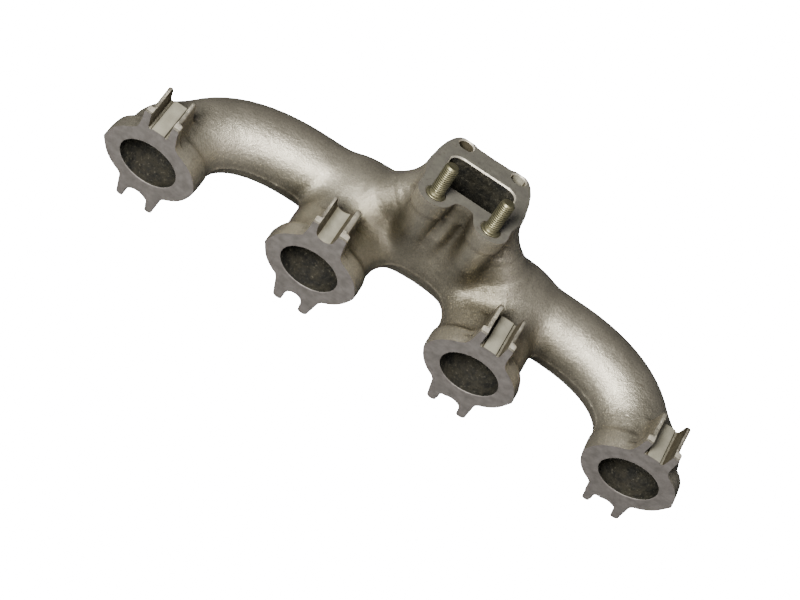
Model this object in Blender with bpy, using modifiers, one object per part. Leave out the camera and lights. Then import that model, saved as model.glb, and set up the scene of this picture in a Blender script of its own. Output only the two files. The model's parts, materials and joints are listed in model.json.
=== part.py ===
"""Cast iron exhaust manifold for a four-cylinder engine, with two studs in its turbocharger flange.

Metres. +X runs along the row of ports, +Y away from the cylinder head and +Z towards the
turbocharger. The origin is the middle of the port row, on the plane of the port faces.
"""

import math

import bmesh
import bpy
from mathutils import Matrix, Vector

MM = 0.001

# Ports
PORT_PITCH = 124 * MM
PORT_BORE_R = 21 * MM
FLANGE_T = 11 * MM
FLANGE_R = 32 * MM
FLANGE_POINT = 34 * MM  # half width at the pointed corners on the parting line
LUG_DEPTH = 27 * MM  # how far the forked bolt lugs run back from the face
LUG_TOP = 51 * MM
LUG_BOTTOM = 52.4 * MM
LUG_FOOT = 18.7 * MM
SLOT_FLOOR = 38 * MM
SLOT_HALF = 7 * MM
LUG_HALF = 16.5 * MM
PAD_PROUD = 0.5 * MM  # how far the lug's front pad stands proud of the ridge behind it

# Log and runners
LOG_Y = 67 * MM
LOG_Z = 2 * MM  # the parting plane of the two mould halves
LOG_R = 25 * MM
LOG_MIDDLE = (68.4 * MM, 23 * MM)  # Y and radius of the log at X = 0
RUNNER_R = 25 * MM
NECK_R = 28 * MM
WALL = 4.5 * MM
ARCH_Y = 16 * MM  # centre and radius of the arch between the two middle ports
ARCH_R = 29.2 * MM
WEB_HALF = 13 * MM
# Handles of the curve that the runner follows from its port flange to the log, as X and Y
RUNNER_HANDLES = [(178 * MM, 8 * MM), (178 * MM, 43 * MM), (152 * MM, 66 * MM), (96 * MM, 65.2 * MM)]

# Turbocharger flange
TURBO_CENTRE = Vector((0, 80 * MM, 68.2 * MM))
TURBO_TILT = math.radians(20.6)  # the face normal leans from +Z towards +Y
TURBO_T = 12 * MM
TURBO_HALF_X = 34.5 * MM
TURBO_FAR = 41 * MM
INLET_HALF = (24.4 * MM, 18 * MM)
BOLT_X = 20.4 * MM
BOLT_V = 34.4 * MM
BOSS_R = 13 * MM
BOLT_HOLE_R = 5.25 * MM

# Studs
STUD_R = 4.9 * MM
STUD_STAND = 23.7 * MM
STUD_SUNK = 10.5 * MM
STUD_TIP = 1.2 * MM
COLLAR_R = 6.2 * MM
COLLAR_H = 2 * MM
SPOT_R = 8 * MM  # spot face that the collar sits in
SPOT_DEPTH = 1.5 * MM
GAP = 0.3 * MM

ROUND_STEPS = 40
PORT_X = [PORT_PITCH * (k - 1.5) for k in range(4)]
TURBO_FRAME = Matrix.Translation(TURBO_CENTRE) @ Matrix.Rotation(-TURBO_TILT, 4, "X")


def clear_scene():
    for old in list(bpy.data.objects):
        bpy.data.objects.remove(old, do_unlink=True)


def collection(name):
    made = bpy.data.collections.new(name)
    bpy.context.scene.collection.children.link(made)
    return made


def material(name, colour, roughness, metallic):
    made = bpy.data.materials.new(name)
    made.use_nodes = True
    shader = made.node_tree.nodes["Principled BSDF"]
    shader.inputs["Base Color"].default_value = (*colour, 1)
    shader.inputs["Roughness"].default_value = roughness
    shader.inputs["Metallic"].default_value = metallic
    return made


def as_mesh(shape):
    """Turns a curve into a closed mesh object in the same place."""
    bpy.context.view_layer.update()
    evaluated = shape.evaluated_get(bpy.context.evaluated_depsgraph_get())
    mesh = bpy.data.meshes.new_from_object(evaluated)
    made = bpy.data.objects.new(shape.name + "_mesh", mesh)
    made.matrix_world = shape.matrix_world.copy()
    shape.users_collection[0].objects.link(made)
    bpy.data.objects.remove(shape, do_unlink=True)
    bm = bmesh.new()
    bm.from_mesh(mesh)
    bmesh.ops.remove_doubles(bm, verts=bm.verts, dist=0.00001)
    bmesh.ops.recalc_face_normals(bm, faces=bm.faces)
    bm.to_mesh(mesh)
    bm.free()
    return made


def tube(name, points, radii, group, rounding=8):
    """A round bar through the points, with its own radius at each."""
    data = bpy.data.curves.new(name, "CURVE")
    data.dimensions = "3D"
    data.bevel_depth = 1
    data.bevel_resolution = rounding
    data.use_fill_caps = True
    spline = data.splines.new("POLY")
    spline.points.add(len(points) - 1)
    for point, place, radius in zip(spline.points, points, radii):
        point.co = (*place, 1)
        point.radius = radius
    made = bpy.data.objects.new(name, data)
    group.objects.link(made)
    return as_mesh(made)


def plate(name, outline, low, high, frame, group):
    """A flat outline from low to high along its own normal, in the given frame."""
    data = bpy.data.curves.new(name, "CURVE")
    data.dimensions = "2D"
    data.fill_mode = "BOTH"
    data.extrude = (high - low) / 2
    spline = data.splines.new("POLY")
    spline.points.add(len(outline) - 1)
    for point, place in zip(spline.points, outline):
        point.co = (*place, 0, 1)
    spline.use_cyclic_u = True
    made = bpy.data.objects.new(name, data)
    made.matrix_world = frame @ Matrix.Translation((0, 0, (low + high) / 2))
    group.objects.link(made)
    return as_mesh(made)


def arc(centre, radius, start, end, steps):
    """Points of an arc, from one angle to another in degrees."""
    angles = [math.radians(start + (end - start) * k / steps) for k in range(steps + 1)]
    return [(centre[0] + radius * math.cos(a), centre[1] + radius * math.sin(a)) for a in angles]


def mirrored(half):
    """A closed outline from its +X half, which runs from the bottom to the top."""
    return half + [(-x, y) for x, y in reversed(half)]


def loft(name, sections, group):
    """A closed solid through rings with equal numbers of points."""
    bm = bmesh.new()
    rings = [[bm.verts.new(p) for p in ring] for ring in sections]
    for lower, upper in zip(rings, rings[1:]):
        for k in range(len(lower)):
            nxt = (k + 1) % len(lower)
            bm.faces.new((lower[k], lower[nxt], upper[nxt], upper[k]))
    bm.faces.new(rings[0])
    bm.faces.new(rings[-1])
    bmesh.ops.recalc_face_normals(bm, faces=bm.faces)
    mesh = bpy.data.meshes.new(name)
    bm.to_mesh(mesh)
    bm.free()
    made = bpy.data.objects.new(name, mesh)
    group.objects.link(made)
    return made


def ring(along, half_x, half_v, power, shift=0, steps=ROUND_STEPS):
    """A rounded rectangular section of the collector.

    along goes from 0, the middle of the log, to 1, the face of the turbocharger flange. The section
    turns from level to the flange's tilt on the way, and shift moves it away from the head.
    """
    centre = Vector((0, LOG_Y, LOG_Z)).lerp(TURBO_CENTRE, along)
    tilt = TURBO_TILT * min(1, 1.6 * along)
    across = Vector((0, math.cos(tilt), -math.sin(tilt)))
    points = []
    for k in range(steps):
        angle = 2 * math.pi * (k + 0.5) / steps
        c, s = math.cos(angle), math.sin(angle)
        size = (abs(c) ** power + abs(s) ** power) ** (-1 / power)
        points.append(centre + Vector((half_x * size * c, 0, 0)) + across * (half_v * size * s + shift))
    return points


def combine(target, tools, operation):
    for tool in tools:
        cut = target.modifiers.new(tool.name, "BOOLEAN")
        cut.operation = operation
        cut.solver = "MANIFOLD"  # the exact solver loses faces where a lug meets the bend
        cut.object = tool
        tool.hide_render = True
        tool.display_type = "WIRE"


def bezier(handles, t):
    """The point at t, from 0 to 1, of a cubic curve."""
    weights = ((1 - t) ** 3, 3 * t * (1 - t) ** 2, 3 * t * t * (1 - t), t**3)
    return [sum(w * h[axis] for w, h in zip(weights, handles)) for axis in (0, 1)]


def log_line(steps=11):
    """Points and outer radii of the log, from the runner of port 1 along the row to that of port 4."""
    points = [(*bezier(RUNNER_HANDLES, k / steps), LOG_Z) for k in range(steps + 1)]
    points += [(PORT_X[2], LOG_Y - MM, LOG_Z), (0, LOG_MIDDLE[0], LOG_Z)]
    radii = [RUNNER_R] * (steps + 1) + [LOG_R, LOG_MIDDLE[1]]
    return points + [(-x, y, z) for x, y, z in points[-2::-1]], radii + radii[-2::-1]


def fork(side, slim=0):
    """The +X half of a forked bolt lug above (side 1) or below (side -1) the port, from its outer root
    to the middle of the slot floor. slim is taken off every side."""
    width, slot = LUG_HALF - slim, SLOT_HALF + slim
    top = (LUG_TOP if side > 0 else LUG_BOTTOM) - slim
    half = [(width, 40 * MM), (width - 2.7 * MM, top - 1.5 * MM), (width - 3.7 * MM, top),
            (slot + 2 * MM, top), (slot + MM, 43 * MM), (slot, SLOT_FLOOR - slim)]
    return [(x, side * z) for x, z in half]


def flange_outline():
    """The port flange with its lugs: round, with a pointed corner on each side at the parting line."""
    start = math.degrees(math.acos(30 * MM / FLANGE_R))
    end = math.degrees(math.acos(LUG_HALF / FLANGE_R))
    low = arc((0, 0), FLANGE_R, -end, -start, 4)
    high = arc((0, 0), FLANGE_R, start, end, 4)
    return mirrored(fork(-1)[::-1] + low + [(FLANGE_POINT, 0)] + high + fork(1))


def lug_outline(side):
    """The lug behind the machined front pad, a little slimmer and lower than the pad."""
    return mirrored([(LUG_HALF - PAD_PROUD, side * LUG_FOOT)] + fork(side, PAD_PROUD))


def turbo_outline():
    """The turbocharger flange, with a boss round each stud and a scallop between them."""
    scallop = [(0.4 * MM, -30 * MM), (5.5 * MM, -33.5 * MM)]
    boss = arc((BOLT_X, -BOLT_V), BOSS_R, -150, -5, 9)
    far = [(TURBO_HALF_X, -22 * MM), (TURBO_HALF_X, 15 * MM), (31.5 * MM, 36 * MM), (27 * MM, TURBO_FAR)]
    return mirrored(scallop + boss + far)


def arch_outline():
    """The web that rounds the corners between the log and the two middle necks."""
    edge = arc((0, ARCH_Y), ARCH_R, 90, 0, 10)
    half = edge[1:] + [(ARCH_R, 0.6 * FLANGE_T), (PORT_X[2], 0.6 * FLANGE_T), (PORT_X[2], LOG_Y)]
    return [edge[0]] + half + [(-x, y) for x, y in reversed(half)]


def casting(parts, cutters):
    face = Matrix.Rotation(math.radians(90), 4, "X")  # local x, y, z become X, Z, -Y
    solids = []
    for number, x in enumerate(PORT_X, 1):
        frame = Matrix.Translation((x, 0, 0)) @ face
        solids.append(plate(f"port_{number}_flange", flange_outline(), -FLANGE_T, 0, frame, cutters))
        for side, word in ((1, "upper"), (-1, "lower")):
            name = f"port_{number}_{word}_lug"
            solids.append(plate(name, lug_outline(side), -LUG_DEPTH, -0.5 * FLANGE_T, frame, cutters))
    line, radii = log_line()
    for x in PORT_X:
        middle = abs(x) < PORT_PITCH
        end = LOG_Y if middle else 19 * MM
        neck = [(x, y, LOG_Z * y / LOG_Y) for y in (0.4 * FLANGE_T, end / 2, end)]
        solids.append(tube("neck", neck, [NECK_R, NECK_R, LOG_R if middle else NECK_R - MM], cutters))
    web_frame = Matrix.Translation((0, 0, LOG_Z))
    solids.append(plate("arch_web", arch_outline(), -WEB_HALF, WEB_HALF, web_frame, cutters))
    for side in (-1, 1):
        arm = [(side * x * MM, y * MM, z * MM) for x, y, z in ((60, 64, 6), (45, 66, 24), (30, 69.5, 42))]
        solids.append(tube("collector_arm", arm, [25 * MM, 22.5 * MM, 16.5 * MM], cutters))
    collector = [ring(0, 56 * MM, 22 * MM, 2), ring(0.3, 46 * MM, 26 * MM, 2.4),
                 ring(0.6, 36 * MM, 29 * MM, 2.8, -3 * MM), ring(0.85, 33 * MM, 32 * MM, 3, -5.5 * MM)]
    solids.append(loft("collector", collector, cutters))
    solids.append(plate("turbo_flange", turbo_outline(), -TURBO_T, 0, TURBO_FRAME, cutters))

    bores = [tube("log_passage", line, [r - WALL for r in radii], cutters, 6)]
    for x in PORT_X:
        mouth = [(x, -0.01, 0), (x, FLANGE_T, 0)]
        bores.append(tube("port_bore", mouth, [PORT_BORE_R] * 2, cutters, 6))
    for x in PORT_X[1:3]:
        way = [(x, 0.8 * FLANGE_T, 0), (x, 0.7 * LOG_Y, LOG_Z), (x, LOG_Y, LOG_Z)]
        bores.append(tube("neck_passage", way, [PORT_BORE_R - 0.2 * MM] * 3, cutters, 6))
    for x, bend in ((PORT_X[0], 2.5 * MM), (PORT_X[3], -2.5 * MM)):
        way = [(x, 0.4 * FLANGE_T, 0), (x + bend, 20 * MM, LOG_Z / 2)]
        bores.append(tube("end_passage", way, [PORT_BORE_R - 0.2 * MM, PORT_BORE_R - MM], cutters, 6))
    passage = [ring(0, 44 * MM, 20 * MM, 2), ring(0.35, 34 * MM, 20 * MM, 2.3),
               ring(0.7, 26 * MM, 19 * MM, 3), ring(0.9, *INLET_HALF, 4), ring(1.06, *INLET_HALF, 4)]
    bores.append(loft("collector_passage", passage, cutters))
    holes = []
    for x in (-BOLT_X, BOLT_X):
        near, far = (x, -BOLT_V), (x, BOLT_V)
        stud_hole = arc(near, STUD_R + GAP, 0, 360, 20)[:-1]
        spot = arc(near, SPOT_R, 0, 360, 28)[:-1]
        clear = arc(far, BOLT_HOLE_R, 0, 360, 20)[:-1]
        holes.append(plate("stud_hole", stud_hole, -STUD_SUNK - GAP, MM, TURBO_FRAME, cutters))
        holes.append(plate("spot_face", spot, -SPOT_DEPTH, MM, TURBO_FRAME, cutters))
        holes.append(plate("bolt_hole", clear, -2 * TURBO_T, MM, TURBO_FRAME, cutters))

    body = tube("manifold_casting", line, radii, parts)
    body.name = "manifold_casting"
    combine(body, solids, "UNION")
    combine(body, bores + holes, "DIFFERENCE")
    body.data.shade_smooth()
    body.data.set_sharp_from_angle(angle=math.radians(40))
    body.data.materials.append(material("cast_iron", (0.30, 0.28, 0.24), 0.45, 0.8))
    return body


def stud(name, x, steel, parts):
    """A turned stud: threaded shank, collar in the spot face, and a chamfered tip."""
    shank, rim = STUD_R, COLLAR_R
    base = GAP - SPOT_DEPTH
    profile = [(0, STUD_STAND), (shank - STUD_TIP, STUD_STAND), (shank, STUD_STAND - STUD_TIP),
               (shank, base + COLLAR_H), (rim, base + COLLAR_H), (rim, base), (shank, base),
               (shank, -STUD_SUNK), (0, -STUD_SUNK)]
    mesh = bpy.data.meshes.new(name)
    mesh.from_pydata([(r, 0, z) for r, z in profile], [(k, k + 1) for k in range(len(profile) - 1)], [])
    made = bpy.data.objects.new(name, mesh)
    parts.objects.link(made)
    turn = made.modifiers.new("turn", "SCREW")
    turn.steps = turn.render_steps = 24
    turn.use_merge_vertices = True
    turn.merge_threshold = 0.00001
    made.matrix_world = TURBO_FRAME @ Matrix.Translation((x, -BOLT_V, 0))
    mesh.materials.append(steel)
    return made


def build():
    clear_scene()
    parts = collection("exhaust_manifold")
    cutters = collection("exhaust_manifold_shapes")
    casting(parts, cutters)
    steel = material("stud_steel", (0.33, 0.31, 0.20), 0.4, 1.0)
    stud("stud_left", -BOLT_X, steel, parts)
    stud("stud_right", BOLT_X, steel, parts)


build()
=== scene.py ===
"""The looks of a cast iron exhaust manifold with two studs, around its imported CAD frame.

The casting is one smooth surface: a signed distance field of its tubes, flanges and lugs, blended
with cast fillets, is meshed on a grid, and then the machined faces, slots and bores are cut into
it. Lengths are in millimetres until a mesh is made.
"""

import json
import math

import bmesh
import bpy
import numpy as np
import openvdb
from mathutils import Matrix, Vector


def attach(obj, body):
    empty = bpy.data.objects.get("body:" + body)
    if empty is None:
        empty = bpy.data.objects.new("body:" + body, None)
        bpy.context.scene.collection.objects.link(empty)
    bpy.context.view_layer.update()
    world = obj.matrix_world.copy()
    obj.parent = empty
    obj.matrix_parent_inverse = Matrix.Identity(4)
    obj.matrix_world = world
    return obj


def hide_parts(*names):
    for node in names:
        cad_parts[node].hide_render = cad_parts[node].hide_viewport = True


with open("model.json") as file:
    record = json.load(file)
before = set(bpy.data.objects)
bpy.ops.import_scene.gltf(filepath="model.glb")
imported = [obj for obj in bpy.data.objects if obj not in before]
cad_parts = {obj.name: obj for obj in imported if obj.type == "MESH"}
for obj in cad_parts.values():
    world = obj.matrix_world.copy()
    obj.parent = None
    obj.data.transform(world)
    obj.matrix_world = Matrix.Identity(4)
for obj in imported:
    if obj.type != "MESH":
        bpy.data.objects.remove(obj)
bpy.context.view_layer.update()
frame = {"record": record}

MM = 0.001
MOUNTS = {m["name"]: m for m in frame["record"]["mounts"]}
TURBO = MOUNTS["turbo_face"]

# Grid
VOXEL = 1.0
INNER_VOXEL = 1.6
COARSE = 4

# Ports, as distances from the middle of the row and from the centre of a port
PORTS = (62.0, 186.0)
PORT_X = (-186.0, -62.0, 62.0, 186.0)
BORE_R = 21.0
FLANGE_R = 32.0
FLANGE_T = 11.0
FLANGE_POINT = 33.8
LUG_TOP = 51.3
LUG_DEPTH = 27.3
PAD_DEPTH = 6.0
# Slots of ports 1 to 4: shape, offset in X, half width, and the floor's distance from the port's
# centre
UPPER_SLOTS = (
    ("flat", 0.0, 7.0, 38.0),
    ("round", -0.9, 6.5, 37.6),
    ("flat", 0.2, 7.0, 38.0),
    ("flat", 0.0, 7.0, 38.0),
)
LOWER_SLOTS = (
    ("round", -0.9, 8.0, 36.0),
    ("round", 0.2, 5.8, 35.2),
    ("round", 2.0, 7.7, 37.3),
    ("round", 2.8, 8.2, 37.6),
)
# Lower prongs of ports 1 to 4: X and radius of each of the two tips; all reach PRONG_END
PRONGS = (
    ((-11.8, 2.9), (10.2, 3.2)),
    ((-9.5, 3.8), (10.0, 3.9)),
    ((-9.5, 3.8), (13.5, 3.6)),
    ((-8.6, 3.0), (14.2, 3.1)),
)
PRONG_END = 52.2

# Log, runners and necks; the parting plane of the two mould halves is z = PARTING
PARTING = 2.0
# The log from a runner to the middle, as x, y and radius
LOG = ((96.0, 65.2, 25.0), (62.0, 66.0, 25.0), (30.0, 67.6, 23.6), (0.0, 68.4, 23.0))
RUNNER_R = 25.0
RUNNER_HANDLES = ((178.0, 8.0), (178.0, 43.0), (152.0, 66.0), (96.0, 65.2))
NECK_R = 28.0
WALL = 4.5
LOG_Y = 67.0
LOG_Z = 2.0
ARCH_Y = 16.0
ARCH_R = 29.2
WEB_R = 20.0
BEAD = 0.9  # height of the flash along the parting line, on the side of the head

# Collector and its passage: how far along, half width in X, half width across, power of the
# section, and shift away from the head
COLLECTOR = (
    (0, 48, 22.5, 3.2, 0),
    (0.3, 40, 25, 3.4, 0),
    (0.6, 33, 24.5, 3.4, 0.3),
    (0.93, 31, 25, 3.6, -0.5),
)
PASSAGE = (
    (0, 44, 17, 2, 0),
    (0.35, 32, 19, 2.4, 0),
    (0.7, 25.5, 18.5, 3.2, 0),
    (0.92, 24.0, 17.6, 4, 0),
)
# The arm from the log up to the collector, the column under each stud, and the rib between the two
ARM = ((60, 64, 6), (46, 63, 20), (34, 66, 40), (26, 70, 58))
ARM_R = (24.5, 21.5, 15.5, 11.5)
COLUMN = ((20.4, 48.0, 80), (20.4, 47.6, 60), (20.8, 49.5, 40), (21.5, 54, 20), (22, 60, 4))
COLUMN_R = (10.2, 10.4, 11.0, 11.6, 12)
RIB = ((-2.5, 59.5, 76), (-3.0, 54.0, 62), (-4.0, 50.0, 42), (-5.0, 51.5, 18))
RIB_R = (5, 5.2, 5.4, 5)

# Widths of the cast fillets
END_NECK_FILLET = 10
NECK_FILLET = 9
WEB_FILLET = 7
ARM_FILLET = 9
COLLECTOR_FILLET = 12
COLUMN_FILLET = 9
RIB_FILLET = 5
RIM_FILLET = 7
LUG_FILLET = 4
PRONG_FILLET = 3

# Turbocharger flange
TURBO_Y = TURBO["pos_m"][1] / MM
TURBO_Z = TURBO["pos_m"][2] / MM
TILT = math.atan2(TURBO["axis"][1], TURBO["axis"][2])
TURBO_T = 12.0
BOLT_X = 20.4
BOLT_V = 34.4
BOSS_R = 10.6
HOLE_R = 5.25
HOLE_DEPTH = 24
STUD_HOLE_R = 5.15
STUD_HOLE_DEPTH = 10.8
SPOT_R = 7.4
SPOT_DEPTH = 0.4
INLET = (24.4, 18.0, 8.0)  # half width in X, half width across and corner radius
BEVEL = 0.9
PORT_BEVEL = 0.35
CLEAR = 3  # how far a tool stands out of the face that it cuts

# Studs, with heights above the flange
PITCH = 1.5
CREST_R = 4.9
ROOT_R = 4.05
SHANK_R = 4.3
TIP_R = 3.55
TIP_FLAT_R = 2.9
RUN_OUT = 1.2  # length over which the thread fades in above its base
THREAD_BASE = 2.2
STUD_TOP = 23.7
STUD_SUNK = -10.5
STUD_SIDES = 48
ROWS_PER_PITCH = 10

# Regions of the casting, in the order of its materials
SKIN, PORT_FACE, TURBO_FACE, BORE, SLOT_FLOOR, SLOT_WALL_SHADE, WORN_AND_HIGHLIGHT = range(7)
CUT_BACK = 0.45  # a face this far under the cast surface has been machined
ON_PLANE = 0.02

# Stage, in metres: the camera was fitted to the four round port mouths
EYE = Vector((-0.02358, -0.53711, 0.87555))
VIEW_RIGHT = Vector((0.83556, 0.45397, 0.30943))
VIEW_UP = Vector((-0.54899, 0.71173, 0.43825))
LENS = 71.46
SENSOR = 36
LIT_SPOT = Vector((0, 0.06, 0))
FLOOR_HALF = 4
FLOOR_Z = -0.2
FLOOR_GLOW = 20.0
SKY = (0.9, 0.95, 1)
SKY_GLOW = 0.06
# Lights: name, place to the right of the camera and above it, size, power and colour
LIGHTS = (
    ("key", -0.22, 0.14, 0.4, 37, (1, 0.98, 0.93)),
    ("low_fill", 0.45, -0.6, 0.35, 4, (1, 0.93, 0.94)),
)

# The port faces' frame, whose local x, y and z are X, Z and -Y
FACING = Matrix.Rotation(math.radians(90), 4, "X")
# The turbocharger flange's frame: x along the log, y away from the head, z out of the face
TURBO_FRAME = Matrix.Translation((0, TURBO_Y * MM, TURBO_Z * MM)) @ Matrix.Rotation(-TILT, 4, "X")


# ---------------------------------------------------------------- distance fields


def smooth_min(a, b, k):
    """The nearer of two shapes, blended with a fillet about k wide."""
    h = np.clip(0.5 + 0.5 * (b - a) / k, 0, 1)
    return b + (a - b) * h - k * h * (1 - h)


def smooth_max(a, b, k):
    """What two shapes share, blended in the same way."""
    return -smooth_min(-a, -b, k)


def step(low, high, x):
    """A smooth step from 0 at low to 1 at high."""
    t = np.clip((x - low) / (high - low), 0, 1)
    return t * t * (3 - 2 * t)


def tube(x, y, z, line, radii):
    """Distance to a round bar that follows points, with its own radius at each."""
    best = np.full(x.shape, 1e3, np.float32)
    for a, b, ra, rb in zip(line, line[1:], radii, radii[1:]):
        d = [q - p for p, q in zip(a, b)]
        length = sum(c * c for c in d)
        t = ((x - a[0]) * d[0] + (y - a[1]) * d[1] + (z - a[2]) * d[2]) / length
        t = np.clip(t, 0, 1)
        dx, dy, dz = x - a[0] - t * d[0], y - a[1] - t * d[1], z - a[2] - t * d[2]
        away = np.sqrt(dx**2 + dy**2 + dz**2)
        best = np.minimum(best, away - ra - t * (rb - ra))
    return best


def outline_distance(u, v, points):
    """Signed distance to a closed flat outline."""
    best = np.full(u.shape, 1e6, np.float32)
    sign = np.ones(u.shape, np.float32)
    for (ax, ay), (bx, by) in zip(points, points[1:] + points[:1]):
        ex, ey = bx - ax, by - ay
        wx, wy = u - ax, v - ay
        t = np.clip((wx * ex + wy * ey) / (ex * ex + ey * ey), 0, 1)
        best = np.minimum(best, (wx - t * ex) ** 2 + (wy - t * ey) ** 2)
        above, below = v >= ay, v < by
        left = ex * wy > ey * wx
        flip = (above & below & left) | (~above & ~below & ~left)
        sign = np.where(flip, -sign, sign)
    return sign * np.sqrt(best)


def slab(flat, depth, low, high, edge):
    """A flat outline's distance given a thickness from low to high, with edges rounded by edge."""
    side = np.abs(depth - (low + high) / 2) - (high - low) / 2
    return smooth_max(flat, side, edge)


def arc(centre, radius, start, end, steps):
    """Points on an arc, from one angle to another in degrees."""
    angles = [math.radians(start + (end - start) * k / steps) for k in range(steps + 1)]
    return [(centre[0] + radius * math.cos(a), centre[1] + radius * math.sin(a)) for a in angles]


def mirrored(half):
    """A closed outline from its half where x is positive."""
    return half + [(-x, y) for x, y in reversed(half)]


def bezier(handles, t):
    weights = ((1 - t) ** 3, 3 * t * (1 - t) ** 2, 3 * t * t * (1 - t), t**3)
    return [sum(w * h[axis] for w, h in zip(weights, handles)) for axis in (0, 1)]


def log_line(steps=18):
    """The +X half of the log, from the port flange to the middle, with its outer radii."""
    line = [(*bezier(RUNNER_HANDLES, k / steps), PARTING) for k in range(steps)]
    return line + [(x, y, PARTING) for x, y, _ in LOG], [RUNNER_R] * steps + [r for _, _, r in LOG]


def web(x, y, z):
    """Distance to the cast web that rounds the arch between the two middle necks."""
    reach = ARCH_R + WEB_R
    edge = arc((0, ARCH_Y), reach, 90, 0, 12)
    region = edge + [(reach, 6), (PORTS[0], 6), (PORTS[0], LOG[1][1]), (0, LOG[3][1])]
    flat = np.maximum(outline_distance(x, y, region), 0)
    return np.hypot(flat, z - PARTING) - WEB_R


def collector(x, y, z, knots):
    """Distance to the collector, a rounded box section that changes from the log to the flange.

    The knots are rows like those of COLLECTOR.
    """
    dy, dz = TURBO_Y - LOG_Y, TURBO_Z - LOG_Z
    along = ((y - LOG_Y) * dy + (z - LOG_Z) * dz) / (dy * dy + dz * dz)
    inside = np.clip(along, 0, knots[-1][0])
    excess = (along - inside) * math.hypot(dy, dz)
    places = [k[0] for k in knots]
    half_x, half_v, power, shift = (
        np.interp(inside, places, [k[n] for k in knots]) for n in (1, 2, 3, 4)
    )
    tilt = TILT * np.minimum(1, 1.6 * inside)
    v = (y - LOG_Y - inside * dy) * np.cos(tilt) - (z - LOG_Z - inside * dz) * np.sin(tilt) - shift
    end = np.where(excess < 0, 24.0, 5.0)
    a, b, c = np.abs(x) / half_x, np.abs(v) / half_v, np.abs(excess) / end
    total = a**power + b**power + c**power + 1e-6
    size = total ** (1 / power)
    slope = size ** (1 - power) * np.sqrt(
        (a ** (power - 1) / half_x) ** 2
        + (b ** (power - 1) / half_v) ** 2
        + (c ** (power - 1) / end) ** 2
    )
    return np.clip((size - 1) / np.maximum(slope, 1e-3), -30, 60)


def turbo_axes(y, z):
    """Place across the flange, away from the head, and height above its face."""
    c, s = math.cos(TILT), math.sin(TILT)
    return (y - TURBO_Y) * c - (z - TURBO_Z) * s, (y - TURBO_Y) * s + (z - TURBO_Z) * c


def turbo_outline():
    """The turbocharger flange, with a boss round each stud and a scallop between them."""
    boss = arc((BOLT_X, -BOLT_V), BOSS_R, -165, 0, 11)
    scallop = [(0.4, -27.6), (3.4, -28.2), (6.2, -29.8), (8.4, -32.4)]
    far = [
        (31.4, -26), (32.6, -19), (34.2, -10), (34.5, 0), (34.2, 15), (32.8, 25),
        (29.8, 34), (27.0, 38.6), (24.0, 40.8), (16, 40.9), (13.4, 39.3), (2, 38.9),
    ]
    return mirrored(scallop + boss + far)


def flange_outline():
    """A port's flange: round, with a point on each side."""
    start = math.degrees(math.acos(30 / FLANGE_R))
    low = arc((0, 0), FLANGE_R, -70, -start, 8)
    high = arc((0, 0), FLANGE_R, start, 70, 8)
    return mirrored(low + [(FLANGE_POINT, 0)] + high)


def lug(x, y, z):
    """The lug above a port: two thin ribs with thicker pads in front, before the slot is cut."""
    behind = step(PAD_DEPTH - 0.6, PAD_DEPTH + 0.6, y)
    top = LUG_TOP - 1.0 * behind + 1.8 * step(PAD_DEPTH + 4, LUG_DEPTH, y)
    half_top = 12.4 - 2.2 * behind
    height = np.clip((z - 20) / (LUG_TOP - 20), 0, 1)
    belly = 17.6 - 0.4 * behind
    side = np.abs(x) - (half_top + (belly - half_top) * (1 - height) ** (2.4 + 1.2 * behind))
    body = smooth_max(side * 0.9, z - top, 1.2)
    rear = y - LUG_DEPTH + 0.35 * np.clip(z - 46, 0, 6)
    body = smooth_max(body, rear, 1.6)
    return np.maximum(body, 12 - z)


def prongs(x, y, z, tips):
    """The forked lug below a port; x and z run from the port's centre, with z pointing down."""
    body = np.full(x.shape, 1e3, np.float32)
    for middle, radius in tips:
        line = [(math.copysign(12.0, middle), 28.0), (middle, PRONG_END - radius)]
        (ax, az), (bx, bz) = line
        length = (bx - ax) ** 2 + (bz - az) ** 2
        t = np.clip(((x - ax) * (bx - ax) + (z - az) * (bz - az)) / length, 0, 1)
        away = np.hypot(x - ax - t * (bx - ax), z - az - t * (bz - az)) - radius - (1 - t) * 1.2
        body = np.minimum(body, away)
    block = np.maximum(np.abs(x) - 12.5, np.abs(z - 26) - 13.0)
    return smooth_max(smooth_min(body, block, 3), np.abs(y - 8) - 13, 1.6)


def tubes(x, y, z):
    """The log, runners, necks and collector, on the side where x is positive."""
    line, radii = log_line()
    body = tube(x, y, z, line, radii)
    end = [(PORTS[1], 2, 0), (PORTS[1] - 1, 19, 0.5)]
    end_neck = tube(x, y, z, end, (NECK_R, NECK_R - 1))
    body = smooth_min(body, end_neck, END_NECK_FILLET)
    neck = [(PORTS[0], 2, 0), (PORTS[0], 30, 1), (PORTS[0], 66, PARTING)]
    body = smooth_min(body, tube(x, y, z, neck, (NECK_R, NECK_R, RUNNER_R)), NECK_FILLET)
    body = smooth_min(body, web(x, y, z), WEB_FILLET)
    arm = tube(x, y, z, ARM, ARM_R)
    upper = smooth_min(arm, collector(x, y, z, COLLECTOR), ARM_FILLET)
    body = smooth_min(body, upper, COLLECTOR_FILLET)
    return smooth_min(body, tube(x, y, z, COLUMN, COLUMN_R), COLUMN_FILLET)


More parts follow.
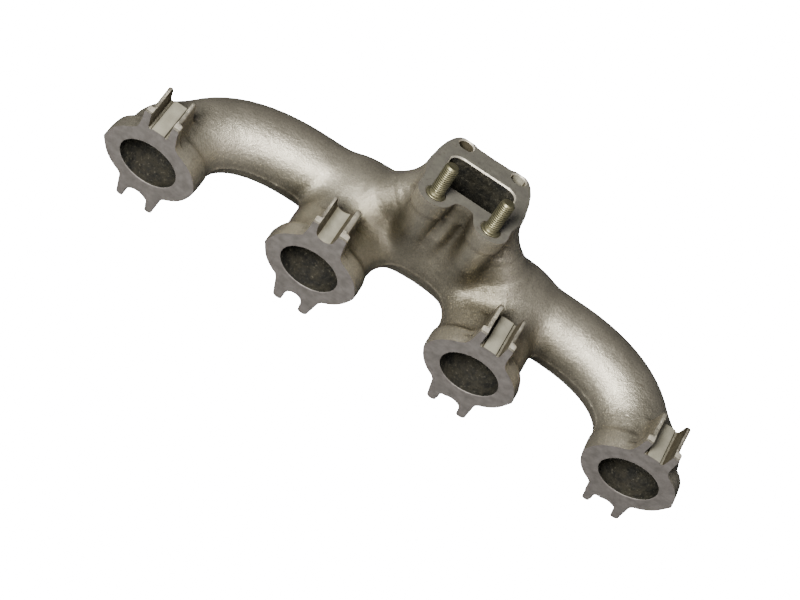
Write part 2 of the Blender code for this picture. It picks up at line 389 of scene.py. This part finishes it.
def outer_field(x, y, z):
    """The casting before machining, as distances."""
    ax = np.abs(x)
    body = tubes(ax, y, z)
    body = smooth_min(body, tube(x, y, z, RIB, RIB_R), RIB_FILLET)

    _, height = turbo_axes(y, z)
    near = (ax < 50) & (height > -34) & (height < 20)
    # The flange's sides drop straight down, since the mould is drawn in Z
    drawn = (y[near] - TURBO_Y) / math.cos(TILT)
    flat = outline_distance(ax[near], drawn, turbo_outline())
    rim = slab(flat, height[near], -TURBO_T, 4, 1.6)
    body[near] = smooth_min(body[near], rim, RIM_FILLET)

    for port, tips in zip(PORT_X, PRONGS):
        near = (np.abs(x - port) < 48) & (y < 50)
        u, w, d = x[near] - port, z[near], y[near]
        rim = slab(outline_distance(u, w, flange_outline()), d, -6, FLANGE_T, 1.5)
        found = smooth_min(body[near], rim, RIM_FILLET)
        found = smooth_min(found, lug(u, d, w), LUG_FILLET)
        body[near] = smooth_min(found, prongs(u, d, -w, tips), PRONG_FILLET)

    # The flash bead of the parting line, of uneven height
    wander = 0.75 + 0.25 * np.sin(x * 0.9) * np.sin(x * 0.37 + y * 0.6)
    bead = np.exp(-((z - PARTING) / 1.1) ** 2) * step(11, 15, y) * (1 - step(46, 60, y))
    return body - BEAD * wander * bead


def inner_field(x, y, z):
    """The gas passages, as distances."""
    x = np.abs(x)
    line, radii = log_line()
    log = tube(x, y, z, line, [r - WALL for r in radii])
    bores = (BORE_R, BORE_R)
    neck = tube(x, y, z, [(PORTS[0], 4, 0), (PORTS[0], LOG[1][1], PARTING)], bores)
    end_neck = tube(x, y, z, [(PORTS[1], 2, 0), (PORTS[1] - 2, 19, 0.5)], bores)
    body = smooth_min(smooth_min(log, neck, 8), end_neck, 4)
    return smooth_min(body, collector(x, y, z, PASSAGE), COLLECTOR_FILLET)


# ---------------------------------------------------------------- meshes


def mesh_object(name, points, faces):
    """A mesh object from points, in metres, and faces."""
    mesh = bpy.data.meshes.new(name)
    mesh.from_pydata(points, [], faces)
    mesh.update()
    made = bpy.data.objects.new(name, mesh)
    bpy.context.scene.collection.objects.link(made)
    return made


def mesh_arrays(name, points, quads):
    """A mesh object from arrays of points, in millimetres, and quads."""
    mesh = bpy.data.meshes.new(name)
    mesh.vertices.add(len(points))
    mesh.vertices.foreach_set("co", (points * MM).astype(np.float32).ravel())
    mesh.loops.add(quads.size)
    mesh.loops.foreach_set("vertex_index", quads.ravel().astype(np.int32))
    mesh.polygons.add(len(quads))
    mesh.polygons.foreach_set("loop_start", np.arange(0, quads.size, 4, dtype=np.int32))
    mesh.update(calc_edges=True)
    mesh.validate()
    made = bpy.data.objects.new(name, mesh)
    bpy.context.scene.collection.objects.link(made)
    return made


def refined(values, factor):
    """Values on a coarse grid, interpolated on a grid that is finer by the factor."""
    for axis in range(3):
        count = values.shape[axis]
        fine = np.arange((count - 1) * factor + 1) / factor
        low = np.minimum(fine.astype(int), count - 2)
        share = (fine - low).astype(np.float32)
        share = share.reshape([-1 if k == axis else 1 for k in range(3)])
        values = values.take(low, axis) * (1 - share) + values.take(low + 1, axis) * share
    return values


def skin(name, field, voxel, low, high):
    """Meshes the zero surface of a field, which is worked out in full only near that surface."""
    step_size = voxel * COARSE
    counts = [int(math.ceil((b - a) / step_size)) + 1 for a, b in zip(low, high)]
    coarse_axes = [a + np.arange(n) * step_size for a, n in zip(low, counts)]
    points = [g.ravel().astype(np.float32) for g in np.meshgrid(*coarse_axes, indexing="ij")]
    values = refined(field(*points).reshape(counts).astype(np.float32), COARSE)
    near = np.nonzero(np.abs(values) < 1.6 * step_size)
    places = [np.float32(a) + index.astype(np.float32) * voxel for a, index in zip(low, near)]
    values[near] = field(*places)
    grid = openvdb.FloatGrid(background=10.0)
    grid.copyFromArray(np.clip(values, -10, 10).astype(np.float32))
    vertices, quads = grid.convertToQuads(isovalue=0.0)
    made = mesh_arrays(name, vertices * voxel + np.array(low), quads)
    bm = bmesh.new()
    bm.from_mesh(made.data)
    bmesh.ops.remove_doubles(bm, verts=bm.verts, dist=0.02 * MM)
    bmesh.ops.recalc_face_normals(bm, faces=bm.faces)
    bm.to_mesh(made.data)
    bm.free()
    return made


def settle(made, field, rounds=2):
    """Moves each vertex onto the field's surface."""
    mesh = made.data
    co = np.empty(len(mesh.vertices) * 3, np.float32)
    mesh.vertices.foreach_get("co", co)
    p = co.reshape(-1, 3) / MM
    reach = 0.25
    for _ in range(rounds):
        x, y, z = p.T.copy()
        value = field(x, y, z)
        ahead = (field(x + reach, y, z), field(x, y + reach, z), field(x, y, z + reach))
        slope = np.stack([found - value for found in ahead], axis=1) / reach
        square = np.maximum((slope**2).sum(1), 0.2)
        move = (value / square)[:, None] * slope
        p = p - np.clip(move, -0.4, 0.4)
    mesh.vertices.foreach_set("co", (p * MM).astype(np.float32).ravel())
    mesh.update()


def prism(name, outline, low, high, place, top=None):
    """A closed block from an outline at low to the same outline, or to top, at high."""
    count = len(outline)
    rings = ((low, outline), (high, top or outline))
    points = [(u * MM, v * MM, w * MM) for w, ring in rings for u, v in ring]
    sides = [(k, (k + 1) % count, count + (k + 1) % count, count + k) for k in range(count)]
    ends = [tuple(reversed(range(count))), tuple(range(count, 2 * count))]
    made = mesh_object(name, points, sides + ends)
    bm = bmesh.new()
    bm.from_mesh(made.data)
    bmesh.ops.recalc_face_normals(bm, faces=bm.faces)
    bm.to_mesh(made.data)
    bm.free()
    made.data.transform(place)
    return made


def carve(target, tool, operation="DIFFERENCE"):
    """Applies a Boolean and removes the tool."""
    cut = target.modifiers.new("cut", "BOOLEAN")
    cut.operation = operation
    cut.solver = "MANIFOLD"
    cut.object = tool
    bpy.context.view_layer.update()
    evaluated = target.evaluated_get(bpy.context.evaluated_depsgraph_get())
    mesh = bpy.data.meshes.new_from_object(evaluated)
    target.modifiers.clear()
    old = target.data
    target.data = mesh
    bpy.data.meshes.remove(old)
    bpy.data.objects.remove(tool, do_unlink=True)


def slot_outline(kind, middle, half, floor):
    """The open slot of a bolt lug: round at the bottom, or flat with a groove along each wall."""
    if kind == "round":
        low = arc((0, floor + half), half, -90, 0, 10)
    else:
        low = [
            (0, floor), (half - 2.4, floor - 0.2), (half - 1.6, floor - 1.4),
            (half - 0.3, floor - 1.3), (half + 0.3, floor + 0.8),
        ]
    side = low + [(half + 0.6, 48), (half + 1.0, 58)]
    right = [(middle + x, z) for x, z in side]
    return right + [(middle - x, z) for x, z in reversed(side) if x > 0]


def circle(centre, radius, steps):
    return arc(centre, radius, 0, 360, steps)[:-1]


def inlet_outline(grow):
    """The rounded rectangle of the inlet, made wider all round."""
    half_x, half_v, corner = INLET
    middle_x, middle_v = half_x - corner, half_v - corner
    low = arc((middle_x, -middle_v), corner + grow, -90, 0, 8)
    return mirrored(low + arc((middle_x, middle_v), corner + grow, 0, 90, 8))


def machine(casting):
    """Cuts the port faces, the flange face, the bores, the slots and the bolt holes."""
    square = [(-230, -60), (230, -60), (230, 60), (-230, 60)]
    carve(casting, prism("face_cut", square, 0, 12, FACING))
    block = [(-45, -60), (45, -60), (45, 50), (-45, 50)]
    carve(casting, prism("turbo_cut", block, 0, 14, TURBO_FRAME))

    passage = skin("passage", inner_field, INNER_VOXEL, (-216, -30, -30), (216, 120, 84))
    carve(passage, prism("passage_front", square, -1.5, 60, FACING))
    carve(passage, prism("passage_top", block, -1.5, 60, TURBO_FRAME))
    mouth = circle((0, 0), BORE_R, 96)
    for side in (-1, 1):
        for port in PORTS:
            place = Matrix.Translation((side * port * MM, 0, 0)) @ FACING
            carve(passage, prism("bore", mouth, -7, CLEAR, place), "UNION")
    carve(passage, prism("inlet", inlet_outline(0), -6, 4, TURBO_FRAME), "UNION")
    carve(casting, passage)

    for x in PORT_X:
        place = Matrix.Translation((x * MM, 0, 0)) @ FACING
        wider = circle((0, 0), BORE_R + 2 * PORT_BEVEL, 96)
        carve(casting, prism("bevel", mouth, -PORT_BEVEL, PORT_BEVEL, place, wider))
    wide = 2 * BEVEL
    wider = inlet_outline(wide)
    carve(casting, prism("bevel", inlet_outline(0), -BEVEL, BEVEL, TURBO_FRAME, wider))

    for x, upper, lower in zip(PORT_X, UPPER_SLOTS, LOWER_SLOTS):
        for side, slot in ((1, upper), (-1, lower)):
            outline = [(u, side * v) for u, v in slot_outline(*slot)]
            place = Matrix.Translation((x * MM, 0, 0)) @ FACING
            carve(casting, prism("slot", outline, -40, 5, place))
    for x in (-BOLT_X, BOLT_X):
        spot = circle((x, -BOLT_V), SPOT_R, 64)
        carve(casting, prism("spot", spot, -SPOT_DEPTH, CLEAR, TURBO_FRAME))
        deep = circle((x, -BOLT_V), STUD_HOLE_R, 48)
        carve(casting, prism("stud_hole", deep, -STUD_HOLE_DEPTH, CLEAR, TURBO_FRAME))
        hole = circle((x, BOLT_V), HOLE_R, 56)
        carve(casting, prism("bolt_hole", hole, -HOLE_DEPTH, CLEAR, TURBO_FRAME))
        wider = circle((x, BOLT_V), HOLE_R + wide, 56)
        carve(casting, prism("bevel", hole, -BEVEL, BEVEL, TURBO_FRAME, wider))


def build_casting():
    casting = skin("casting", outer_field, VOXEL, (-224, -4, -56), (224, 124, 92))
    settle(casting, outer_field)
    machine(casting)
    return casting


# ---------------------------------------------------------------- studs


def thread_radius(z, turn):
    """Radius of the stud at a height and a share of a turn; the thread fades in and tapers off."""
    phase = (z / PITCH - turn) % 1
    ridge = 1 - abs(2 * phase - 1)
    radius = ROOT_R + (CREST_R - ROOT_R) * min(1, max(0, 1.25 * ridge - 0.08))
    fade = min(1, (z - THREAD_BASE) / RUN_OUT)
    radius = SHANK_R + (radius - SHANK_R) * fade
    return min(radius, TIP_R + (STUD_TOP - z) * 0.75)


def build_stud(name, x):
    """An M10 x 1.5 stud: thread, plain collar in the spot face and a chamfered tip."""
    turns = STUD_SIDES
    profile = [
        (0.001, STUD_SUNK), (4.6, STUD_SUNK), (4.6, -0.35), (6.6, -0.35),
        (6.6, 0.3), (6.2, 0.7), (4.9, 0.9), (SHANK_R, THREAD_BASE),
    ]
    rings = [([radius] * turns, z) for radius, z in profile]
    for z in np.arange(THREAD_BASE, STUD_TOP + 1e-6, PITCH / ROWS_PER_PITCH)[1:]:
        rings.append(([thread_radius(z, k / turns) for k in range(turns)], z))
    rings.append(([TIP_FLAT_R] * turns, STUD_TOP - 0.02))

    points, faces = [], []
    for radii, z in rings:
        for k, radius in enumerate(radii):
            angle = 2 * math.pi * k / turns
            points.append((radius * math.cos(angle), radius * math.sin(angle), z))
    last = (len(rings) - 1) * turns
    for start in range(0, last, turns):
        for k in range(turns):
            n = (k + 1) % turns
            faces.append((start + k, start + n, start + turns + n, start + turns + k))
    points.append((0, 0, STUD_TOP - 0.12))
    faces += [(last + k, last + (k + 1) % turns, len(points) - 1) for k in range(turns)]
    stud = mesh_object(name + "_body", [(a * MM, b * MM, c * MM) for a, b, c in points], faces)
    bm = bmesh.new()
    bm.from_mesh(stud.data)
    bmesh.ops.remove_doubles(bm, verts=bm.verts, dist=0.004 * MM)
    bmesh.ops.recalc_face_normals(bm, faces=bm.faces)
    bm.to_mesh(stud.data)
    bm.free()
    stud.data.transform(TURBO_FRAME @ Matrix.Translation((x * MM, -BOLT_V * MM, 0)))
    stud.data.shade_smooth()
    stud.data.set_sharp_from_angle(angle=math.radians(50))
    return stud


# ---------------------------------------------------------------- materials


class Shade:
    """Builds one material: a Principled shader fed by procedural textures in object space."""

    def __init__(self, name, metallic):
        self.material = bpy.data.materials.new(name)
        self.material.use_nodes = True
        self.tree = self.material.node_tree
        self.shader = self.tree.nodes["Principled BSDF"]
        self.shader.inputs["Metallic"].default_value = metallic
        self.place = self.tree.nodes.new("ShaderNodeTexCoord").outputs["Object"]

    def link(self, source, target):
        """Sets a number or a colour on a socket, or joins an output to it."""
        if isinstance(source, (int, float)):
            target.default_value = source
        elif isinstance(source, tuple):
            target.default_value = (*source, 1)
        else:
            self.tree.links.new(source, target)

    def noise(self, size, detail=3, rough=0.55):
        """Noise from 0 to 1 whose blotches are about size millimetres wide."""
        made = self.tree.nodes.new("ShaderNodeTexNoise")
        self.link(self.place, made.inputs["Vector"])
        made.inputs["Scale"].default_value = 1 / (size * MM)
        made.inputs["Detail"].default_value = detail
        made.inputs["Roughness"].default_value = rough
        return made.outputs["Fac"]

    def spread(self, value, low, high, to_low=0.0, to_high=1.0):
        """Maps low..high to to_low..to_high, and stops at both ends."""
        made = self.tree.nodes.new("ShaderNodeMapRange")
        for socket, number in zip(made.inputs[1:5], (low, high, to_low, to_high)):
            socket.default_value = number
        self.link(value, made.inputs["Value"])
        return made.outputs["Result"]

    def mix(self, share, one, two):
        """Colour one where share is 0 and colour two where it is 1."""
        made = self.tree.nodes.new("ShaderNodeMix")
        made.data_type = "RGBA"
        self.link(share, made.inputs["Factor"])
        self.link(one, made.inputs[6])  # the colour inputs; A and B also name the number inputs
        self.link(two, made.inputs[7])
        return made.outputs[2]

    def hollows(self, reach):
        """1 in the open and 0 deep in a corner within reach millimetres; the materials paint shade
        with it.
        """
        made = self.tree.nodes.new("ShaderNodeAmbientOcclusion")
        made.samples = 6
        made.inputs["Distance"].default_value = reach * MM
        return made.outputs["AO"]

    def bumps(self, *layers):
        """Bump from pairs of a height and its depth in millimetres."""
        normal = None
        for height, depth in layers:
            made = self.tree.nodes.new("ShaderNodeBump")
            made.inputs["Strength"].default_value = 1
            made.inputs["Distance"].default_value = depth * MM
            self.link(height, made.inputs["Height"])
            if normal:
                self.link(normal, made.inputs["Normal"])
            normal = made.outputs["Normal"]
        self.link(normal, self.shader.inputs["Normal"])

    def finish(self, colour, roughness):
        self.link(colour, self.shader.inputs["Base Color"])
        self.link(roughness, self.shader.inputs["Roughness"])
        return self.material


def cast_skin():
    """Satin, warm grey sand-cast iron, with painted shade darkening it to dark olive in the
    hollows.
    """
    look = Shade("casting_skin", 0.84)
    patches = look.spread(look.noise(38), 0.35, 0.65)
    tone = look.mix(patches, (0.50, 0.465, 0.38), (0.40, 0.37, 0.30))
    grit = look.noise(1.1, 4, 0.75)
    tone = look.mix(look.spread(grit, 0.38, 0.62, 0.0, 0.55), tone, (0.27, 0.25, 0.20))
    spots = look.spread(look.noise(5, 5, 0.65), 0.64, 0.74, 0, 0.5)
    tone = look.mix(spots, tone, (0.17, 0.14, 0.095))
    # Painted shade: darker in broad hollows within 45 mm, and darker still in corners within 9 mm.
    wide = look.spread(look.hollows(45), 0.66, 1.0)
    tone = look.mix(wide, (0.075, 0.066, 0.042), tone)
    close = look.spread(look.hollows(9), 0.45, 0.92)
    tone = look.mix(close, (0.04, 0.033, 0.02), tone)
    rough = look.spread(look.noise(14), 0.3, 0.7, 0.38, 0.47)
    look.bumps((look.noise(9, 2), 0.5), (look.noise(2.4, 3), 0.22), (grit, 0.3))
    return look.finish(tone, rough)


def face_metal(name, one, two, roughness):
    """A milled face gone dull, with mottled stains and small rust pits."""
    look = Shade(name, 0.5)
    tone = look.mix(look.spread(look.noise(7, 5, 0.6), 0.35, 0.65), one, two)
    pits = look.spread(look.noise(2.4, 4, 0.7), 0.60, 0.70, 0, 0.7)
    tone = look.mix(pits, tone, (0.12, 0.095, 0.07))
    # Painted shade: the face darkens within 5 mm of a corner.
    shade = look.spread(look.hollows(5), 0.3, 0.9)
    tone = look.mix(shade, (0.10, 0.085, 0.065), tone)
    rough = look.spread(look.noise(5), 0.3, 0.7, roughness - 0.06, roughness + 0.08)
    look.bumps((look.noise(1.6, 4, 0.7), 0.10))
    return look.finish(tone, rough)


def bore_skin():
    """The rough, sooty inside of the gas passages; its near-black colour is partly soot and partly
    painted shade of the deep passage.
    """
    look = Shade("gas_passage", 0.1)
    look.shader.inputs["Specular IOR Level"].default_value = 0.25
    # Near-black base: partly soot, partly painted shade.
    patches = look.spread(look.noise(8, 5, 0.7), 0.4, 0.62)
    tone = look.mix(patches, (0.006, 0.006, 0.005), (0.02, 0.018, 0.012))
    crust = look.spread(look.noise(1.8, 4, 0.75), 0.58, 0.70, 0, 0.45)
    tone = look.mix(crust, tone, (0.16, 0.15, 0.115))
    look.bumps((look.noise(5, 3), 1.0), (look.noise(1.5, 4, 0.7), 0.7))
    return look.finish(tone, look.spread(look.noise(4), 0.3, 0.7, 0.55, 0.85))


def worn_edge_and_highlight():
    """Bright metal, partly wear and partly painted highlight, on the turbocharger flange's bevels
    and on the pads of the upper lugs.
    """
    look = Shade("worn_edge_and_highlight", 0.75)
    patches = look.spread(look.noise(2, 4, 0.7), 0.35, 0.65)
    tone = look.mix(patches, (0.86, 0.81, 0.69), (0.60, 0.55, 0.44))
    look.bumps((look.noise(1.2, 4, 0.7), 0.1))
    return look.finish(tone, look.spread(look.noise(3), 0.3, 0.7, 0.35, 0.5))


def slot_skin(name, one, two):
    """The pale floor of a bolt slot, or its wall, darkened with painted shade."""
    look = Shade(name, 0.5)
    tone = look.mix(look.spread(look.noise(6, 4), 0.35, 0.65), one, two)
    # Painted shade: darker within 5 mm of a corner.
    shade = look.spread(look.hollows(5), 0.3, 0.95)
    tone = look.mix(shade, (0.07, 0.06, 0.04), tone)
    look.bumps((look.noise(1.2, 4, 0.7), 0.14))
    return look.finish(tone, look.spread(look.noise(3), 0.3, 0.7, 0.45, 0.6))


def stud_steel():
    """Olive plated steel, with painted shade darkening the roots of the thread."""
    look = Shade("stud_steel", 0.85)
    patches = look.spread(look.noise(4, 4), 0.35, 0.65)
    tone = look.mix(patches, (0.24, 0.225, 0.14), (0.15, 0.14, 0.085))
    # Painted shade in the roots of the thread.
    shade = look.spread(look.hollows(0.9), 0.45, 0.85)
    tone = look.mix(shade, (0.012, 0.011, 0.007), tone)
    return look.finish(tone, look.spread(look.noise(2), 0.3, 0.7, 0.34, 0.5))


def regions(mesh):
    """The region of each face of the casting, by where it lies and which way it looks."""
    centre = np.empty(len(mesh.polygons) * 3, np.float32)
    mesh.polygons.foreach_get("center", centre)
    x, y, z = (centre.reshape(-1, 3) / MM).T.copy()
    normal = np.empty(len(mesh.polygons) * 3, np.float32)
    mesh.polygons.foreach_get("normal", normal)
    normal_x, _, normal_z = normal.reshape(-1, 3).T
    across, height = turbo_axes(y, z)
    inside = outer_field(x, y, z) < -CUT_BACK

    region = np.where(inside, SLOT_FLOOR, SKIN)
    # Cut faces that look sideways, the walls of the slots, take the darker wall colour: painted
    # shade.
    region[inside & (np.abs(normal_x) > 0.75)] = SLOT_WALL_SHADE
    inlet = (np.abs(x) < INLET[0] + 0.5) & (np.abs(across) < INLET[1] + 0.5) & (height > -9)
    region[inside & (inlet | (inner_field(x, y, z) < 0.7))] = BORE
    from_hole = np.hypot(np.abs(x) - BOLT_X, across - BOLT_V)
    region[inside & (from_hole < HOLE_R + 0.2) & (x < 0)] = SLOT_WALL_SHADE  # the left hole's wall takes the darker wall colour too

    # Pale metal, partly wear and partly painted highlight, on the upward faces of the lug pads and
    # on the turbocharger flange's bevels.
    pads = (z > 47) & (y > 1) & (y < PAD_DEPTH + 1) & (normal_z > 0.4)
    round_inlet = np.abs(x) < INLET[0] + BEVEL + 0.1
    round_inlet &= np.abs(across) < INLET[1] + BEVEL + 0.1
    turbo_bevel = (height < -ON_PLANE) & (height > ON_PLANE - BEVEL)
    turbo_bevel &= round_inlet | (from_hole < HOLE_R + BEVEL)
    region[(pads & (region == SKIN)) | turbo_bevel] = WORN_AND_HIGHLIGHT
    region[inside & (np.abs(height) < ON_PLANE)] = TURBO_FACE

    between, half_pitch = (PORTS[0] + PORTS[1]) / 2, (PORTS[1] - PORTS[0]) / 2
    from_port = np.hypot(np.abs(np.abs(x) - between) - half_pitch, z)
    port_bevel = (y > ON_PLANE) & (y < PORT_BEVEL)
    port_bevel &= (from_port > BORE_R) & (from_port < BORE_R + PORT_BEVEL)
    region[port_bevel] = PORT_FACE
    region[inside & (np.abs(y) < ON_PLANE)] = PORT_FACE
    return region


def dress(casting, studs):
    """Gives the regions of the casting, and the studs, their materials."""
    port_face = face_metal("port_face", (0.25, 0.232, 0.22), (0.17, 0.158, 0.147), 0.5)
    turbo_face = face_metal("turbo_face", (0.23, 0.222, 0.185), (0.18, 0.17, 0.148), 0.45)
    slot_floor = slot_skin("slot_floor", (0.36, 0.345, 0.275), (0.27, 0.255, 0.2))
    # The wall colour is painted shade; the floor's colour is the slot's own.
    slot_wall_shade = slot_skin("slot_wall_shade", (0.09, 0.078, 0.05), (0.055, 0.047, 0.03))
    mesh = casting.data
    mesh.materials.clear()
    for material in (
        cast_skin(), port_face, turbo_face, bore_skin(), slot_floor, slot_wall_shade, worn_edge_and_highlight()
    ):
        mesh.materials.append(material)
    mesh.polygons.foreach_set("material_index", regions(mesh).astype(np.int32))
    steel = stud_steel()
    for stud in studs:
        stud.data.materials.append(steel)


# ---------------------------------------------------------------- stage


def build_floor():
    """A bright floor that the camera sees but the part does not."""
    half = FLOOR_HALF
    corners = [(-half, -half), (half, -half), (half, half), (-half, half)]
    floor = mesh_object("floor", [(x, y, FLOOR_Z) for x, y in corners], [(0, 1, 2, 3)])
    pale = bpy.data.materials.new("pale_floor")
    pale.use_nodes = True
    shader = pale.node_tree.nodes["Principled BSDF"]
    shader.inputs["Base Color"].default_value = (0.9, 0.9, 0.9, 1)
    shader.inputs["Emission Color"].default_value = (1, 1, 1, 1)
    shader.inputs["Emission Strength"].default_value = FLOOR_GLOW
    floor.data.materials.append(pale)
    floor.visible_glossy = False
    floor.visible_diffuse = False


def build_stage():
    """The floor, the sky, the camera and the two lights, which stand near the camera."""
    build_floor()
    world = bpy.data.worlds.new("studio")
    bpy.context.scene.world = world
    world.use_nodes = True
    sky = world.node_tree.nodes["Background"]
    sky.inputs["Color"].default_value = (*SKY, 1)
    sky.inputs["Strength"].default_value = SKY_GLOW

    right = VIEW_RIGHT.normalized()
    back = right.cross(VIEW_UP).normalized()
    up = back.cross(right)
    camera = bpy.data.cameras.new("camera")
    camera.lens = LENS
    camera.sensor_width = SENSOR
    holder = bpy.data.objects.new("camera", camera)
    turn = Matrix((right, up, back)).transposed().to_4x4()
    holder.matrix_world = Matrix.Translation(EYE) @ turn
    bpy.context.scene.collection.objects.link(holder)
    bpy.context.scene.camera = holder

    for name, beside, above, size, power, colour in LIGHTS:
        light = bpy.data.lights.new(name, "AREA")
        light.shape = "DISK"
        light.size = size
        light.energy = power
        light.color = colour
        made = bpy.data.objects.new(name, light)
        made.location = EYE + beside * right + above * up
        made.rotation_euler = (LIT_SPOT - made.location).to_track_quat("-Z", "Y").to_euler()
        bpy.context.scene.collection.objects.link(made)


casting = build_casting()
casting.name = "manifold_body"
casting.data.shade_smooth()
casting.data.set_sharp_from_angle(angle=math.radians(38))
studs = [build_stud("stud_left", -BOLT_X), build_stud("stud_right", BOLT_X)]
dress(casting, studs)
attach(casting, "root")
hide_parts("manifold_casting")
for stud, node in zip(studs, ("stud_left", "stud_right")):
    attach(stud, "root")
    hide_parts(node)
build_stage()
